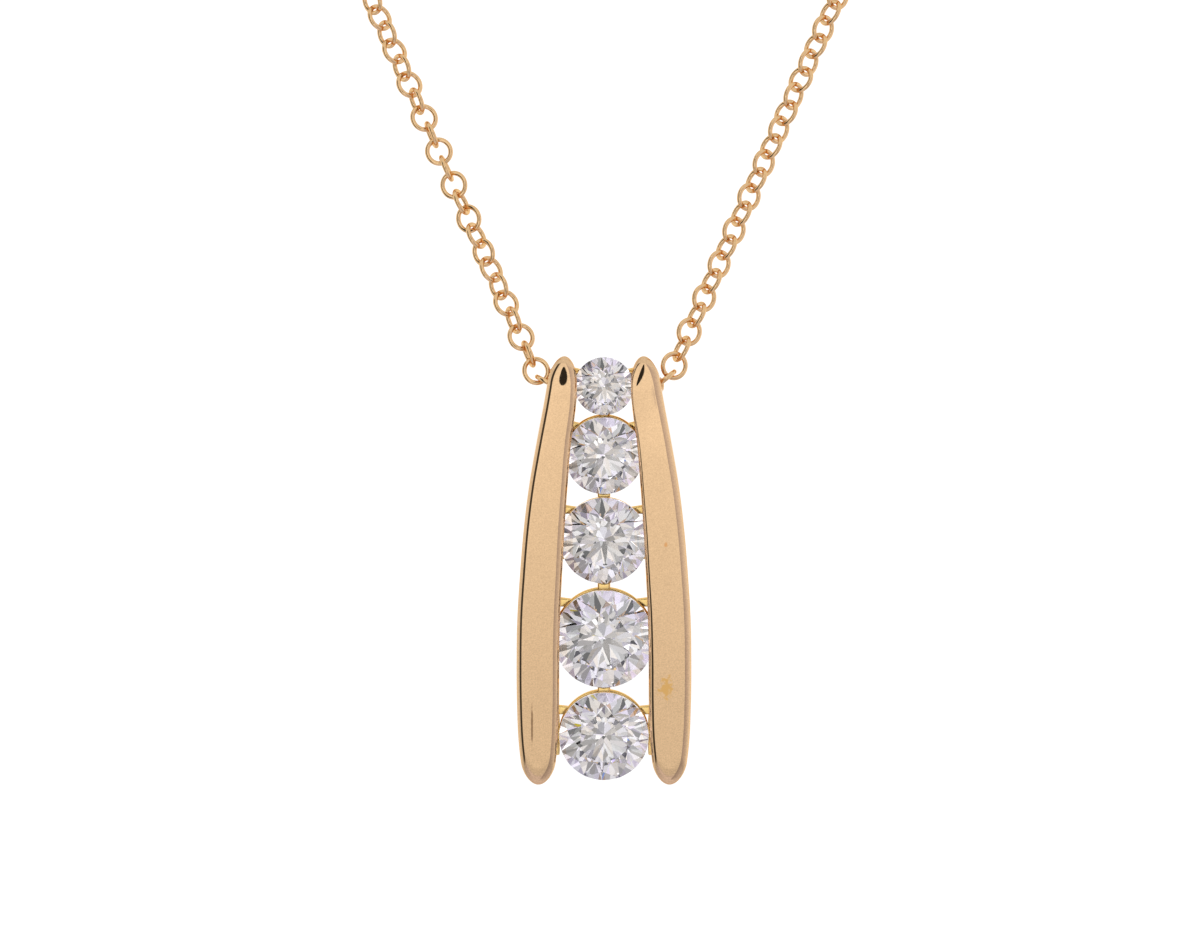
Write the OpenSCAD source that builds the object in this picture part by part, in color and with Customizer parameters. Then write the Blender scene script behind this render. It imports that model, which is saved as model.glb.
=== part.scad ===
// Five-stone pendant: two tapering curved bars with five round brilliants between them,
// hung by two hidden hoops from a fine trace chain that closes at the nape.
// +X is to the right as seen from the front, +Y is towards the back and +Z is up.
// The origin is at the nape, where the clasp rests.

/* [Pendant] */
// Length of the two bars, from their tips to their round lower ends
bar_len = 20.45; // [20.2:0.05:20.8]
// Depth of the bars from the polished face to the back
bar_depth = 2; // [1.9:0.05:2.1]
// Width of the rounded edge beside the polished face
edge_w = 0.34; // [0.28:0.01:0.36]
// Angle by which the lower end hangs back
hang_tilt = 11.8; // [10:0.1:13]

/* [Stones] */
// Diameter of the top stone
stone_1_d = 2.74; // [2.66:0.01:2.76]
// Diameter of the second stone
stone_2_d = 3.64; // [3.5:0.01:3.66]
// Diameter of the third stone
stone_3_d = 4.08; // [3.95:0.01:4.12]
// Diameter of the fourth stone
stone_4_d = 4.65; // [4.5:0.01:4.7]
// Diameter of the lowest stone
stone_5_d = 4.2; // [4.1:0.01:4.25]
// Clearance between a stone and the metal around it
stone_gap = 0.04; // [0.03:0.01:0.05]

/* [Setting] */
// Wall thickness of the gallery ring behind each stone
ring_wall = 0.14; // [0.12:0.01:0.2]
// Depth of the gallery rings from front to back
ring_depth = 0.32; // [0.3:0.01:0.4]
// Bore radius of the two hidden hoops
hoop_bore_r = 0.85; // [0.84:0.01:0.88]
// Wall thickness of the hoops
hoop_wall = 0.25; // [0.22:0.01:0.3]

/* [Chain] */
// Outer diameter of a link
link_d = 1.39; // [1.38:0.01:1.4]
// Diameter of the link's wire
wire_d = 0.2; // [0.18:0.01:0.2]
// Distance between the centres of neighbouring links
pitch = 0.885; // [0.87:0.005:0.885]
// Diameter of the clasp's barrel
clasp_d = 2.6; // [2.4:0.1:3]

/* [Hidden] */
GOLD = [0.85, 0.66, 0.45];
DIAMOND = [0.88, 0.88, 0.92];

// Where the chain passes through the hoops, from the nape
BAIL = [0, -100, -132];
// The same place in the pendant, from the tips of the bars and the plane of the girdles
BAIL_BACK = 2.15;
BAIL_DOWN = 1.82;

// Outline of a bar at equal shares of its length: inner half gap, outer half width
INNER = 0;
OUTER = 1;
BAR = [
    [1.25, 2.44],
    [1.28, 2.77],
    [1.54, 3.15],
    [1.70, 3.50],
    [1.85, 3.75],
    [1.95, 3.92],
    [2.05, 4.05],
    [2.09, 4.09],
    [2.10, 4.08],
    [2.17, 4.00],
    [2.40, 3.76],
];
FACE_Y = -0.75;      // the polished face, in front of the girdles, halfway down the bar
FACE_BOW = 0.35;     // how far the face falls back at both ends
TIP_DROP = 0.3;      // how much further it rounds over at the tips
TIP_REACH = 1.5;     // the length of that rounding
TIP_BACK = 0.4;      // how much lower the back of a bar ends than its face does at the tips
TIP_ROUND = 1.12;    // length of the rounded outline at the tips
FOOT_ROUND = 1.12;   // length of the rounded outline at the lower ends
RIM_TIP = 0.26;      // how far the edge of the face stays from the tips
RIM_FOOT = 0.48;     // and how far from the lower ends
EDGE_DEPTH = 0.3;    // depth of the rounded edge
BACK_EDGE = 0.15;    // the small bevel along the back
EDGE_TURN = 22.5;    // the rounded edge is drawn in steps of this angle
END_STEPS = 6;
SIDE_STEPS = 14;

// The five stones from the top down, and the gaps between their girdles
STONE_D = [stone_1_d, stone_2_d, stone_3_d, stone_4_d, stone_5_d];
STONE_SPACE = [0.12, 0.19, 0.35, 0.26];
STONE_SPIN = [5, 16, 3, 11, 20];
TOP_STONE_DOWN = 1.38;
TABLE = 0.56;            // width of the table, as a share of the diameter
STAR = 0.76;             // reach of the star facets, as a share of the radius
CROWN_SLOPE = tan(34.5);
PAVILION_SLOPE = tan(40.8);
LOWER = 0.22;            // inner reach of the lower girdle facets, as a share of the radius
GIRDLE = 0.012;          // half the girdle at its thinnest, as a share of the diameter

// The gallery rings, their bridges, and the lugs and ledges that join them to the bars
RING_FRONT = 0.48;
RING_OVER = [-0.17, 0.01, -0.1, 0.02, 0.02];
BRIDGE_W = 0.6;
LUG_ANGLES = [28, 47, 45, 45, 33];
LUG_TURN = 6;
LUG_H = 0.44;
LEDGE = 0.12;
LEDGE_SHARE = 0.46;
HOOP_IN = 1.42;
HOOP_OUT = 2.3;

// The front of the chain: level through the hoops, a short bend, then a straight strand
STRAND_OFFSET = 2.86;
STRAND_SLOPE = 0.443;
STRAND_LEAN = 0.2;
BEND_R = 1.4;

// Links are numbered from the left link beside the hoops, 0, to the right one, HIDDEN_STEPS.
// Between them they lie a little closer.
LEFT_PLACE = -3.45;
RIGHT_PLACE = 3.72;
HIDDEN_STEPS = 9;
STRAND_LINKS = 24;
// The chain's slow twist, from a link's number to its degrees, beside the quarter turn of each link
TWIST = [
    [-21, -127],
    [-18, -121],
    [0, 0],
    [1, 10],
    [8, 100],
    [9, 107],
    [10, 117],
    [15, 130],
    [19, 128],
    [26, 145],
    [30, 131],
];

// The clasp, a barrel with an eye at each end
CLASP_LEN = 6.4;
CLASP_EYE = 0.55;
CLASP_WIRE = 0.36;
CLASP_END = CLASP_LEN / 2 + 2 * CLASP_EYE + CLASP_WIRE / 2;

// The hidden stretch of the chain on the right, from the strand round to the clasp
BACK_ROUTE = [
    [22.8, -91, -87],
    [31.8, -83.5, -67],
    [40.3, -73.5, -48.5],
    [47.2, -61.5, -32.5],
    [51.5, -48, -20.5],
    [52.5, -34, -12],
    [49, -20.5, -6],
    [39.5, -8.5, -2.5],
    [23, -0.8, -0.6],
    [CLASP_END + 0.3, clasp_d / 2, 0],
];
TUBE_SIDES = 8;
TUBE_STEPS = 3;
TUBE_GAP = 0.12;

// Plain helpers
function total(list, n) = n <= 0 ? 0 : list[n - 1] + total(list, n - 1);
function unit(v) = v / norm(v);
function blend(a, b, c, d, t) =
    0.5 * (2 * b + (c - a) * t + (2 * a - 5 * b + 4 * c - d) * t * t + (3 * b - a - 3 * c + d) * t * t * t);
function row(rows, i) =
    i < 0 ? 2 * rows[0] - rows[1] :
    i >= len(rows) ? 2 * rows[len(rows) - 1] - rows[len(rows) - 2] : rows[i];
// A smooth curve through the rows of a table, u counts rows
function smooth(rows, u) =
    let (i = min(floor(u), len(rows) - 2))
    blend(row(rows, i - 1), row(rows, i), row(rows, i + 1), row(rows, i + 2), u - i);

// Half width of a bar's rounded end, as a share of its full half width
function end_share(h, length) = h >= length ? 1 : sqrt(max(0, 1 - pow(1 - h / length, 2)));
// How far down each station of a bar lies
STATIONS = concat(
    [for (i = [0 : END_STEPS]) TIP_ROUND * (1 - cos(90 * i / END_STEPS))],
    [for (i = [1 : SIDE_STEPS - 1]) TIP_ROUND + (bar_len - TIP_ROUND - FOOT_ROUND) * i / SIDE_STEPS],
    [for (i = [END_STEPS : -1 : 0]) bar_len - FOOT_ROUND * (1 - cos(90 * i / END_STEPS))]
);
LAST = len(STATIONS) - 1;
AROUND = 2 * LAST;

// How much of its width a bar has at a station
function narrow(down) = end_share(down, TIP_ROUND) * end_share(bar_len - down, FOOT_ROUND);
// Sideways place of a bar's outer edge (side 1) or inner edge (side -1) at a distance down,
// with a share of its width, and drawn in at both sides
function bar_x_at(down, side, share, inset) =
    let (r = smooth(BAR, (len(BAR) - 1) * down / bar_len))
    (r[OUTER] + r[INNER]) / 2 + side * share * ((r[OUTER] - r[INNER]) / 2 - inset);
function bar_x(down, side) = bar_x_at(down, side, narrow(down), 0);

// The outline seen from the front: down the outer edge and back up the inner edge
function side_of(j) = (j + AROUND) % AROUND <= LAST ? 1 : -1;
function down_of(j) = let (k = (j + AROUND) % AROUND) STATIONS[k <= LAST ? k : AROUND - k];
function outline(j) = [bar_x(down_of(j), side_of(j)), -down_of(j)];
// The edge of the polished face, inside that outline
function rim(j) =
    let (down = RIM_TIP + (bar_len - RIM_TIP - RIM_FOOT) * down_of(j) / bar_len)
    [bar_x_at(down, side_of(j), narrow(down_of(j)), edge_w), -down];
function inward(j) =
    let (run = unit(outline(j + 1) - outline(j - 1)))
    [run[1], -run[0]];
function face_y(z) =
    FACE_Y + FACE_BOW * pow(-2 * z / bar_len - 1, 2) + TIP_DROP * pow(max(0, 1 + z / TIP_REACH), 2);

// The rounded edge is a quarter of an ellipse between the outline and the edge of the face
function edge_point(j, turn) =
    let (p = outline(j) + (rim(j) - outline(j)) * (1 - sin(turn)))
    [p[0], face_y(p[1]) + EDGE_DEPTH * (1 - cos(turn)), p[1]];
function back_point(j, inset, y) =
    let (p = outline(j) + inward(j) * inset)
    [p[0], y, p[1] - TIP_BACK * pow(max(0, 1 + p[1] / TIP_REACH), 2)];

module bar() {
    back_y = FACE_Y + bar_depth;
    rings = concat(
        [for (turn = [0 : EDGE_TURN : 90]) [for (j = [0 : AROUND - 1]) edge_point(j, turn)]],
        [[for (j = [0 : AROUND - 1]) back_point(j, 0, back_y - BACK_EDGE)]],
        [[for (j = [0 : AROUND - 1]) back_point(j, BACK_EDGE, back_y)]]
    );
    top = len(rings) - 1;
    points = [for (ring = rings) each ring];
    walls = [
        for (k = [0 : top - 1], j = [0 : AROUND - 1])
            let (a = k * AROUND + j, b = k * AROUND + (j + 1) % AROUND)
            each [[a, b + AROUND, b], [a, a + AROUND, b + AROUND]]
    ];
    // Across a cap, station i of the outer edge meets station i of the inner edge
    cap = [
        for (i = [0 : LAST - 1])
            let (o = i, p = i + 1, q = AROUND - i - 1, r = (AROUND - i) % AROUND)
            each concat(
                p == q ? [] : [[o, p, q]],
                o == r ? [] : [[o, q, r]]
            )
    ];
    back = [for (f = cap) [f[0] + top * AROUND, f[2] + top * AROUND, f[1] + top * AROUND]];
    polyhedron(points, concat(walls, cap, back));
}

// Place of a stone: distance down from the tips
function stone_down(i) =
    TOP_STONE_DOWN + total(STONE_D, i) + total(STONE_SPACE, i) + (STONE_D[i] - STONE_D[0]) / 2;

// Turns a shape about +Z into one about the front direction, at a stone's place
module at_stone(i) {
    translate([0, 0, -stone_down(i)]) rotate([90, 0, 0]) children();
}

// Round brilliant: table, 8 star, 8 main and 16 girdle facets above, 16 and 8 below
module brilliant(d) {
    r = d / 2;
    reach = 1.001 * r / cos(11.25);
    g = GIRDLE * d;
    table_r = TABLE * r;
    table_z = g + CROWN_SLOPE * (reach - table_r);
    star_r = STAR * r;
    star_z = table_z - CROWN_SLOPE * (star_r * cos(22.5) - table_r);
    lower_r = LOWER * r;
    lower_z = -g - PAVILION_SLOPE * (reach - lower_r * cos(22.5));
    culet_z = -g - PAVILION_SLOPE * reach;
    function spot(radius, angle, z) = [radius * cos(angle), radius * sin(angle), z];
    points = concat(
        [for (k = [0 : 7]) spot(table_r, 45 * k, table_z)],
        [for (k = [0 : 7]) spot(star_r, 45 * k + 22.5, star_z)],
        [for (k = [0 : 15]) spot(reach, 22.5 * k, g)],
        [for (k = [0 : 15]) spot(reach, 22.5 * k, -g)],
        [for (k = [0 : 7]) spot(lower_r, 45 * k + 22.5, lower_z)],
        [[0, 0, culet_z]]
    );
    star = 8;
    upper = 16;
    under = 32;
    low = 48;
    culet = 56;
    faces = concat(
        [[for (k = [7 : -1 : 0]) k]],
        [for (k = [0 : 7]) [k, (k + 1) % 8, star + k]],
        [for (k = [0 : 7]) [k, star + k, upper + 2 * k]],
        [for (k = [0 : 7]) [k, upper + 2 * k, star + (k + 7) % 8]],
        [for (k = [0 : 7]) [star + k, upper + 2 * k + 1, upper + 2 * k]],
        [for (k = [0 : 7]) [star + k, upper + (2 * k + 2) % 16, upper + 2 * k + 1]],
        [for (k = [0 : 15]) [upper + k, upper + (k + 1) % 16, under + (k + 1) % 16]],
        [for (k = [0 : 15]) [upper + k, under + (k + 1) % 16, under + k]],
        [for (k = [0 : 7]) [low + k, under + 2 * k, under + 2 * k + 1]],
        [for (k = [0 : 7]) [low + k, under + 2 * k + 1, under + (2 * k + 2) % 16]],
        [for (k = [0 : 7]) [culet, under + 2 * k, low + k]],
        [for (k = [0 : 7]) [culet, low + (k + 7) % 8, under + 2 * k]]
    );
    intersection() {
        polyhedron(points, faces);
        translate([0, 0, -d]) cylinder(h = 2 * d, r = r, $fn = 64);
    }
}

// The room that a stone needs in the metal, a little larger than the stone
module stone_room(d) {
    r = d / 2 + stone_gap;
    g = 0.03 * d + stone_gap;
    rotate_extrude($fn = 64) polygon([
        [0, g + 0.44 * r], [0.5 * r, g + 0.44 * r], [r, g], [r, -g], [0, -g - 0.93 * r],
    ]);
}

// Puts the pendant where it hangs, turned back about the line through its hoops
module hang() {
    translate(BAIL) rotate([hang_tilt, 0, 0]) translate([0, -BAIL_BACK, BAIL_DOWN]) children();
}

function ring_r(i) = STONE_D[i] / 2 + RING_OVER[i];

// Ring behind a stone, with the lugs and ledges that hold it to the bars
module gallery_ring(i) {
    outer = ring_r(i);
    at_stone(i) rotate_extrude($fn = 64)
        translate([outer - ring_wall, -RING_FRONT - ring_depth]) square([ring_wall, ring_depth]);
    wall_x = bar_x(stone_down(i), -1);
    for (side = [-1, 1]) {
        // Ledge under the girdle, along the bar
        translate([side * (wall_x + 0.04), RING_FRONT / 2 + 0.2, -stone_down(i)])
            cube([2 * LEDGE, RING_FRONT + 0.2, LEDGE_SHARE * STONE_D[i]], center = true);
        // Lug that fills the upper corner between ring and bar
        lug_z = outer * sin(LUG_ANGLES[i]) - stone_down(i);
        lug_out = bar_x(-lug_z, -1) + 0.25;
        translate([0, RING_FRONT + ring_depth, 0]) rotate([90, 0, 0]) linear_extrude(ring_depth)
            polygon([
                on_ring(i, side, LUG_ANGLES[i] - LUG_TURN),
                on_ring(i, side, LUG_ANGLES[i] + LUG_TURN),
                [side * lug_out, lug_z + LUG_H / 2],
                [side * lug_out, lug_z - LUG_H / 2],
            ]);
    }
}
// A point in the middle of a ring's wall, at an angle above the ring's level line
function on_ring(i, side, angle) =
    let (r = ring_r(i) - ring_wall / 2)
    [side * r * cos(angle), r * sin(angle) - stone_down(i)];

// Bridge from the bottom of one ring to the top of the next
module bridge(i) {
    low = stone_down(i) + ring_r(i);
    high = stone_down(i + 1) - ring_r(i + 1);
    translate([0, RING_FRONT + ring_depth / 2, -(low + high) / 2])
        cube([BRIDGE_W, ring_depth, high - low + ring_wall], center = true);
}

module hoop(side) {
    translate([side * (HOOP_IN + HOOP_OUT) / 2, BAIL_BACK, -BAIL_DOWN])
        rotate([0, 90, 0])
        cylinder(h = HOOP_OUT - HOOP_IN, r = hoop_bore_r + hoop_wall, center = true, $fn = 48);
}

module frame() {
    color(GOLD) hang() difference() {
        union() {
            bar();
            mirror([1, 0, 0]) bar();
            for (i = [0 : 4]) gallery_ring(i);
            for (i = [0 : 3]) bridge(i);
            for (side = [-1, 1]) hoop(side);
        }
        for (i = [0 : 4]) at_stone(i) stone_room(STONE_D[i]);
        translate([0, BAIL_BACK, -BAIL_DOWN]) rotate([0, 90, 0])
            cylinder(h = 2 * HOOP_OUT + 1, r = hoop_bore_r, center = true, $fn = 48);
    }
}

module stone(i) {
    color(DIAMOND) hang() at_stone(i) rotate([0, 0, STONE_SPIN[i]]) brilliant(STONE_D[i]);
}

// The strand leaves the bail in the plane of +X and this leaning direction
LEANING = unit([0, STRAND_LEAN, 1]);
RISE = atan2(norm([0, STRAND_LEAN, 1]), STRAND_SLOPE);
BEND_START = STRAND_OFFSET - BEND_R * tan(RISE / 2);
BEND_LEN = BEND_R * RISE * PI / 180;

// Angle of the chain above level, and its place, at a distance along it from the middle
function chain_angle(s) = RISE * min(1, max(0, (s - BEND_START) / BEND_LEN));
function chain_flat(s) =
    let (
        a = chain_angle(s),
        rest = max(0, s - BEND_START - BEND_LEN)
    )
    [min(s, BEND_START) + BEND_R * sin(a) + rest * cos(RISE),
     BEND_R * (1 - cos(a)) + rest * sin(RISE)];
function chain_point(s) =
    let (p = chain_flat(abs(s)))
    BAIL + [sign(s) * p[0], 0, 0] + p[1] * LEANING;
function chain_dir(s) =
    let (a = chain_angle(abs(s)))
    [cos(a), 0, 0] + sign(s) * sin(a) * LEANING;

// Place of a link along the chain
function link_place(i) =
    i < 0 ? LEFT_PLACE + i * pitch :
    i > HIDDEN_STEPS ? RIGHT_PLACE + (i - HIDDEN_STEPS) * pitch :
    LEFT_PLACE + i * (RIGHT_PLACE - LEFT_PLACE) / HIDDEN_STEPS;

module link(i) {
    s = link_place(i);
    turn = 90 * i + lookup(i, TWIST);
    along = chain_dir(s);
    across = unit(cross(LEANING, [1, 0, 0]));
    other = cross(along, across);
    axis = cos(turn) * across + sin(turn) * other;
    third = cross(axis, along);
    p = chain_point(s);
    multmatrix([
        [along[0], third[0], axis[0], p[0]],
        [along[1], third[1], axis[1], p[1]],
        [along[2], third[2], axis[2], p[2]],
        [0, 0, 0, 1],
    ])
    rotate_extrude($fn = 32) translate([(link_d - wire_d) / 2, 0]) circle(d = wire_d, $fn = 16);
}

module chain_front() {
    color(GOLD) for (i = [-STRAND_LINKS : HIDDEN_STEPS + STRAND_LINKS]) link(i);
}

// A round tube along a list of points, closed at both ends
module tube(route, d, sides) {
    n = len(route);
    function run(i) = unit(route[min(i + 1, n - 1)] - route[max(i - 1, 0)]);
    function flat_side(i) = unit(cross(run(i), [0.35, 0.25, -0.9]));
    function ring(i) =
        let (u = flat_side(i), v = cross(run(i), u))
        [for (k = [0 : sides - 1]) route[i] + d / 2 * (u * cos(360 * k / sides) + v * sin(360 * k / sides))];
    points = [for (i = [0 : n - 1]) each ring(i)];
    walls = [
        for (i = [0 : n - 2], k = [0 : sides - 1])
            let (a = i * sides + k, b = i * sides + (k + 1) % sides)
            each [[a, b + sides, b], [a, a + sides, b + sides]]
    ];
    first = [[for (k = [0 : sides - 1]) k]];
    last = [[for (k = [sides - 1 : -1 : 0]) (n - 1) * sides + k]];
    polyhedron(points, concat(walls, first, last));
}

// The hidden stretch on the right, from beyond a last link round to the clasp
function back_line(last_place) =
    let (rows = concat([chain_point(last_place + link_d / 2 + TUBE_GAP)], BACK_ROUTE))
    [for (i = [0 : TUBE_STEPS * (len(rows) - 1)]) smooth(rows, i / TUBE_STEPS)];

module chain_back() {
    color(GOLD) {
        tube(back_line(link_place(HIDDEN_STEPS + STRAND_LINKS)), link_d, TUBE_SIDES);
        mirror([1, 0, 0]) tube(back_line(-link_place(-STRAND_LINKS)), link_d, TUBE_SIDES);
    }
}

module clasp() {
    color(GOLD) translate([0, clasp_d / 2, 0]) {
        rotate([0, 90, 0]) cylinder(h = CLASP_LEN, d = clasp_d, center = true, $fn = 32);
        for (side = [-1, 1])
            translate([side * (CLASP_LEN / 2 + CLASP_EYE), 0, 0])
            rotate_extrude($fn = 32) translate([CLASP_EYE, 0]) circle(d = CLASP_WIRE, $fn = 16);
    }
}

frame();
stone(0);  // stone_1
stone(1);  // stone_2
stone(2);  // stone_3
stone(3);  // stone_4
stone(4);  // stone_5
chain_front();
chain_back();
clasp();
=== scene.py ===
# %% [markdown]
# # A five-stone pendant on a fine chain
# Two tapering, curved gold bars hold five round brilliants between them, and the jewel hangs from a
# trace chain by two hoops hidden behind the bars. This lesson dresses its plain CAD model: the bars,
# the setting and the chain are worked out as numpy surfaces, and the metal and the stones get
# procedural materials. Lengths in the lesson are millimetres until a mesh is made.

import bmesh
import bpy
import numpy as np
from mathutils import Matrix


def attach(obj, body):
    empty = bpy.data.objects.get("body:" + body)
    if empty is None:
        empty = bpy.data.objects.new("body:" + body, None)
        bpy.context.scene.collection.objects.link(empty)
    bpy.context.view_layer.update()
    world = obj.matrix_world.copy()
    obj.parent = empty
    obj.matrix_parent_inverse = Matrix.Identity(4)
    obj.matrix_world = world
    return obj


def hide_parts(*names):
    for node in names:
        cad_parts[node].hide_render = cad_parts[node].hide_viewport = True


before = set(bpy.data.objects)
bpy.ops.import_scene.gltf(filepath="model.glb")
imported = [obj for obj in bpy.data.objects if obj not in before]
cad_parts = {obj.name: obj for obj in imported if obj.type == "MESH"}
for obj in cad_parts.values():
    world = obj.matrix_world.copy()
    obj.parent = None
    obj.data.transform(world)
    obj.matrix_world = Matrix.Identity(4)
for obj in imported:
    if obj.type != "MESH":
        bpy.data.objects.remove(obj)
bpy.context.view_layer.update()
MM = 0.001
print("nodes:", sorted(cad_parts))

# %% [markdown]
# ## The camera
# Small jewels are photographed from far off with a long lens, level with the piece and straight at it,
# so that both bars keep their true width. A near camera would bulge the stones, and an orthographic
# one would flatten the depth of the setting. One millimetre at the pendant takes 21.5 pixels.

# %% Camera
PIXELS_WIDE, PIXELS_HIGH = 1200, 928
PIXELS_PER_MM = 21.5
PENDANT_PIXEL = (604.0, 357.0)  # the tips of the bars, halfway between them
HANG = np.radians(11.8)  # the lower end hangs back by this angle
BAIL = np.array([0.0, -100.0, -132.0])  # a point of the line that the pendant swings about
BAIL_BACK, BAIL_DOWN = 2.15, 1.82  # how far that line lies behind and below the tips
CAMERA_AWAY, SENSOR_WIDE = 400.0, 36


def stacked(*columns):
    """Points from their columns, such as x, y and z, each spread to the shape that fits all."""
    return np.stack(np.broadcast_arrays(*columns), axis=-1)


def hang(points):
    """Pendant to world: turn about +X by the hang angle after moving the bail to the turning line."""
    x, y, z = np.moveaxis(np.asarray(points, float), -1, 0)
    y, z = y - BAIL_BACK, z + BAIL_DOWN
    return stacked(x, y * np.cos(HANG) - z * np.sin(HANG), y * np.sin(HANG) + z * np.cos(HANG)) + BAIL


tips = hang([0.0, 0.0, 0.0])
view_x = tips[0] + (PIXELS_WIDE / 2 - PENDANT_PIXEL[0]) / PIXELS_PER_MM
view_z = tips[2] - (PIXELS_HIGH / 2 - PENDANT_PIXEL[1]) / PIXELS_PER_MM
camera = bpy.data.objects.new("camera", bpy.data.cameras.new("camera"))
camera.location = np.array([view_x, tips[1] - CAMERA_AWAY, view_z]) * MM
camera.rotation_euler = (np.pi / 2, 0, 0)
camera.data.sensor_width = SENSOR_WIDE
camera.data.lens = SENSOR_WIDE * CAMERA_AWAY * PIXELS_PER_MM / PIXELS_WIDE
camera.data.clip_start, camera.data.clip_end = 0.01, 10
bpy.context.scene.collection.objects.link(camera)
bpy.context.scene.camera = camera
print("lens", round(camera.data.lens, 1), "mm, camera at", [round(c, 4) for c in camera.location])

# %% [markdown]
# ## Putting a surface into a mesh
# Every new piece here is a grid of points: one parameter runs along the piece and the other around it.
# Points could be placed one by one, but a whole grid becomes a mesh at once. Each closed direction
# joins its last row to its first, and a grid that shrinks to a line or a point at its ends is closed
# there by merging.

# %% Grid helpers
MERGE_WITHIN = 1e-7  # in metres, a ten-thousandth of a millimetre


def full_turn(steps):
    """Equal angles from 0 up to, and without, a full turn."""
    return np.linspace(0, 2 * np.pi, steps, endpoint=False)


def grid_faces(rows, columns, close_rows=False, close_columns=False):
    """Quads of a grid: point (i, j) joins (i, j+1), (i+1, j+1) and (i+1, j), wrapping where closed."""
    i = np.arange(rows if close_rows else rows - 1)[:, None]
    j = np.arange(columns if close_columns else columns - 1)[None, :]
    below, beside = (i + 1) % rows, (j + 1) % columns
    corners = [i * columns + j, i * columns + beside, below * columns + beside, below * columns + j]
    return stacked(*corners).reshape(-1, 4)


def tidy_mesh(mesh):
    """Merges points that lie on each other, drops faces left without area, and points all outwards."""
    work = bmesh.new()
    work.from_mesh(mesh)
    bmesh.ops.remove_doubles(work, verts=work.verts, dist=MERGE_WITHIN)
    bmesh.ops.dissolve_degenerate(work, edges=work.edges, dist=MERGE_WITHIN)
    bmesh.ops.recalc_face_normals(work, faces=work.faces)
    work.to_mesh(mesh)
    work.free()


def make_piece(name, points, faces):
    """Puts millimetre points and quads into a smooth mesh in metres, as an object at the origin."""
    mesh = bpy.data.meshes.new(name)
    mesh.from_pydata((np.asarray(points).reshape(-1, 3) * MM).tolist(), [], np.asarray(faces).tolist())
    tidy_mesh(mesh)
    mesh.polygons.foreach_set("use_smooth", np.full(len(mesh.polygons), True))
    mesh.update()
    piece = bpy.data.objects.new(name, mesh)
    bpy.context.scene.collection.objects.link(piece)
    print(name, len(mesh.vertices), "points,", len(mesh.polygons), "faces")
    return piece


def gather(parts):
    """Joins several (points, faces) surfaces into one, shifting each one's faces past those before it."""
    shifts = np.cumsum([0] + [len(points) for points, faces in parts[:-1]])
    points = np.concatenate([points for points, faces in parts])
    return points, np.concatenate([faces + shift for shift, (_, faces) in zip(shifts, parts)])


print("an open grid of 3 by 4 points has", len(grid_faces(3, 4)), "quads")

# %% [markdown]
# ## The bars
# Each bar is a long tapering blade, slightly bowed, with a polished flat face, soft bevels at both
# sides, and rounded ends. It could be a box with bevels, but the real edge is a smooth curve whose
# bevel follows it round both ends. So the outline is a smooth curve through eleven measured widths,
# and the bar is a stack of outlines: in over the face, down the bevel and the wall, and over the back.

# %% Outline of a bar
BAR_LEN, BAR_DEPTH = 20.45, 2.0
# The inner and the outer edge's distance from the middle, at even stations from the tip to the foot.
WIDTHS = np.array([[1.25, 2.44], [1.28, 2.77], [1.54, 3.15], [1.70, 3.50], [1.85, 3.75], [1.95, 3.92],
                   [2.05, 4.05], [2.09, 4.09], [2.10, 4.08], [2.17, 4.00], [2.40, 3.76]])
TIP_ROUND = FOOT_ROUND = 1.12  # how far down the bar each rounded end reaches
FACE_Y, FACE_BOW = -0.75, 0.35  # depth of the face halfway down, and how much it bows back
EDGE, EDGE_DEPTH, BACK_EDGE = 0.34, 0.3, 0.15  # width and depth of the bevel, and the back's
WORN_DOWN = [0, 2.2, 3.2, 5.4, 7.7, 11.5, 15]  # distances down the right bar's inner bevel, and
WORN_SHARE = [0.26, 0.28, 0.46, 0.58, 0.62, 0.84, 1]  # the share of its width that polishing left there
BACK_Y = FACE_Y + BAR_DEPTH


def smooth_rows(rows, u):
    """Catmull-Rom: a cubic through the rows, whose slope at a row is half the step between its neighbours."""
    rows = np.vstack([2 * rows[:1] - rows[1:2], rows, 2 * rows[-1:] - rows[-2:-1]])
    i = np.clip(np.floor(u).astype(int), 0, len(rows) - 4)
    t = (u - i)[..., None]
    a, b, c, d = rows[i], rows[i + 1], rows[i + 2], rows[i + 3]
    return 0.5 * (2 * b + (c - a) * t + (2 * a - 5 * b + 4 * c - d) * t**2 + (3 * b - a - 3 * c + d) * t**3)


def ease(t):
    """Rises from 0 to 1 with level ends: 3t squared minus 2t cubed."""
    t = np.clip(t, 0, 1)
    return t * t * (3 - 2 * t)


def end_share(gap, length):
    """A quarter ellipse: the share of the full width that is left at this distance from an end."""
    return np.sqrt(np.clip(1 - np.clip(1 - gap / length, 0, 1) ** 2, 0, 1))


def both_edges(down):
    """The inner and the outer edge's distance from the middle, read from the table of widths."""
    return np.moveaxis(smooth_rows(WIDTHS, (len(WIDTHS) - 1) * down / BAR_LEN), -1, 0)


def bar_edge(down, side):
    """Sideways place of the outer edge (side 1) or the inner edge (side -1) at a distance down."""
    inner, outer = both_edges(down)
    narrow = end_share(down, TIP_ROUND) * end_share(BAR_LEN - down, FOOT_ROUND)
    return (outer + inner) / 2 + side * narrow * (outer - inner) / 2


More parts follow.
